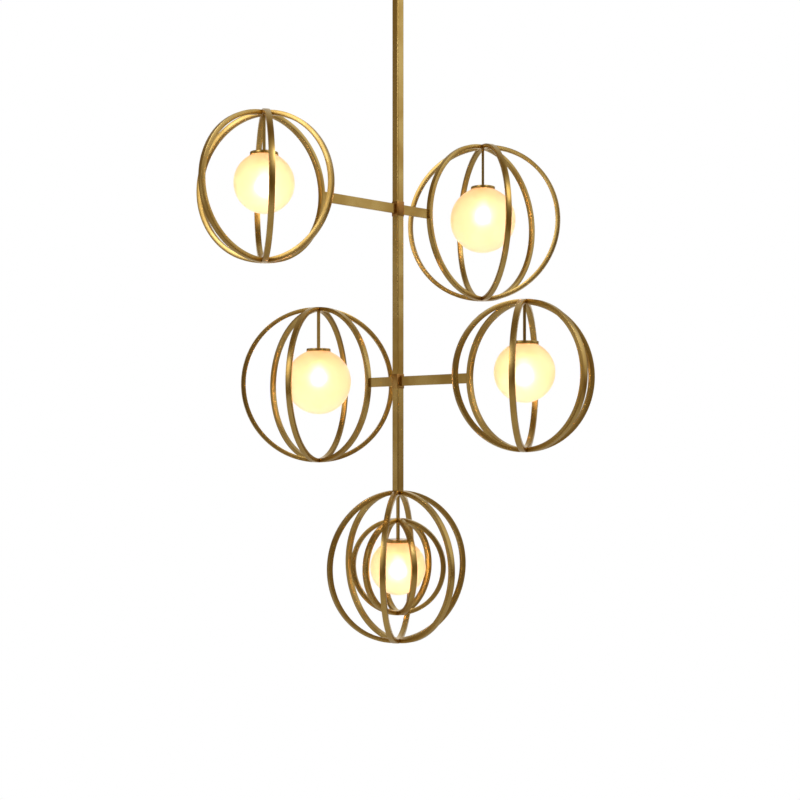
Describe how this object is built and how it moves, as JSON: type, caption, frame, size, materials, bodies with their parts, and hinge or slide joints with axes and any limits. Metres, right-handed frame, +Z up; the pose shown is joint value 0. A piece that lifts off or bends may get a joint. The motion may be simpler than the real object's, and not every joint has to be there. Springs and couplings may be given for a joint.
{
  "type": "orb chandelier",
  "caption": "Ceiling-hung chandelier: square stem with crossed arms carrying open wire orbs, each made of crossing hoops round a lit opal globe.",
  "frame": {"origin": "on the stem's axis in the ceiling's plane, at the centre of the ceiling box screws", "axes": "+Z up along the stem's axis, +X along the upper arms towards the large orb, +Y along the lower arms towards the large orb"},
  "size_m": [0.8141, 0.8141, 1.2952],
  "materials": {
    "brass": "satin, hand rubbed, clear lacquer",
    "opal_glass": "opal, satin outside, lit from inside",
    "bulb": "frosted",
    "holder": "glazed",
    "zinc_steel": "zinc plated"
  },
  "bodies": {
    "ceiling_mount": {"ceiling_crossbar": "zinc_steel", "swivel_bolt": "zinc_steel", "crossbar_locknut": "zinc_steel", "canopy": "brass", "canopy_ring_nut": "brass"},
    "swivel": {"swivel_yoke": "brass", "swivel_pin": "zinc_steel"},
    "fixture": {"bottom_drop_rod": "brass", "bottom_globe_cap": "brass", "bottom_hoop_a": "brass", "bottom_hoop_b": "brass", "bottom_hoop_c": "brass", "bottom_lamp_holder": "holder", "inner_orb_hoop_a": "brass", "inner_orb_hoop_b": "brass", "inner_orb_hoop_c": "brass", "lower_arm_collar": "brass", "lower_large_arm": "brass", "lower_large_drop_rod": "brass", "lower_large_globe_cap": "brass", "lower_large_hoop_a": "brass", "lower_large_hoop_b": "brass", "lower_large_hoop_c": "brass", "lower_large_lamp_holder": "holder", "lower_small_arm": "brass", "lower_small_drop_rod": "brass", "lower_small_globe_cap": "brass", "lower_small_hoop_a": "brass", "lower_small_hoop_b": "brass", "lower_small_hoop_c": "brass", "lower_small_lamp_holder": "holder", "pole_rivets": "brass", "stem_top_lugs": "brass", "stem_tube": "brass", "upper_arm_collar": "brass", "upper_large_arm": "brass", "upper_large_drop_rod": "brass", "upper_large_globe_cap": "brass", "upper_large_hoop_a": "brass", "upper_large_hoop_b": "brass", "upper_large_hoop_c": "brass", "upper_large_lamp_holder": "holder", "upper_small_arm": "brass", "upper_small_drop_rod": "brass", "upper_small_globe_cap": "brass", "upper_small_hoop_a": "brass", "upper_small_hoop_b": "brass", "upper_small_hoop_c": "brass", "upper_small_lamp_holder": "holder"},
    "bottom_globe": {"bottom_globe": "opal_glass"},
    "lower_large_globe": {"lower_large_globe": "opal_glass"},
    "lower_small_globe": {"lower_small_globe": "opal_glass"},
    "upper_large_globe": {"upper_large_globe": "opal_glass"},
    "upper_small_globe": {"upper_small_globe": "opal_glass"},
    "bottom_bulb": {"bottom_bulb": "bulb"},
    "lower_large_bulb": {"lower_large_bulb": "bulb"},
    "lower_small_bulb": {"lower_small_bulb": "bulb"},
    "upper_large_bulb": {"upper_large_bulb": "bulb"},
    "upper_small_bulb": {"upper_small_bulb": "bulb"}
  },
  "joints": [
    {"name": "swivel_turn", "type": "hinge", "parent": "ceiling_mount", "child": "swivel", "pos_m": [0, 0, -0.034], "axis": [0, 0, 1], "range_deg": [-170, 170]},
    {"name": "stem_tilt", "type": "hinge", "parent": "swivel", "child": "fixture", "pos_m": [0, 0, -0.0518], "axis": [1, 0, 0], "range_deg": [-25, 25]},
    {"name": "bottom_globe_lower", "type": "slide", "parent": "fixture", "child": "bottom_globe", "axis": [0, 0, -1], "range_m": [0, 0.026]},
    {"name": "lower_large_globe_lower", "type": "slide", "parent": "fixture", "child": "lower_large_globe", "axis": [0, 0, -1], "range_m": [0, 0.08]},
    {"name": "lower_small_globe_lower", "type": "slide", "parent": "fixture", "child": "lower_small_globe", "axis": [0, 0, -1], "range_m": [0, 0.07]},
    {"name": "upper_large_globe_lower", "type": "slide", "parent": "fixture", "child": "upper_large_globe", "axis": [0, 0, -1], "range_m": [0, 0.08]},
    {"name": "upper_small_globe_lower", "type": "slide", "parent": "fixture", "child": "upper_small_globe", "axis": [0, 0, -1], "range_m": [0, 0.07]},
    {"name": "bottom_bulb_out", "type": "slide", "parent": "fixture", "child": "bottom_bulb", "axis": [0, 0, -1], "range_m": [0, 0.014]},
    {"name": "lower_large_bulb_out", "type": "slide", "parent": "fixture", "child": "lower_large_bulb", "axis": [0, 0, -1], "range_m": [0, 0.014]},
    {"name": "lower_small_bulb_out", "type": "slide", "parent": "fixture", "child": "lower_small_bulb", "axis": [0, 0, -1], "range_m": [0, 0.014]},
    {"name": "upper_large_bulb_out", "type": "slide", "parent": "fixture", "child": "upper_large_bulb", "axis": [0, 0, -1], "range_m": [0, 0.014]},
    {"name": "upper_small_bulb_out", "type": "slide", "parent": "fixture", "child": "upper_small_bulb", "axis": [0, 0, -1], "range_m": [0, 0.014]}
  ]
}
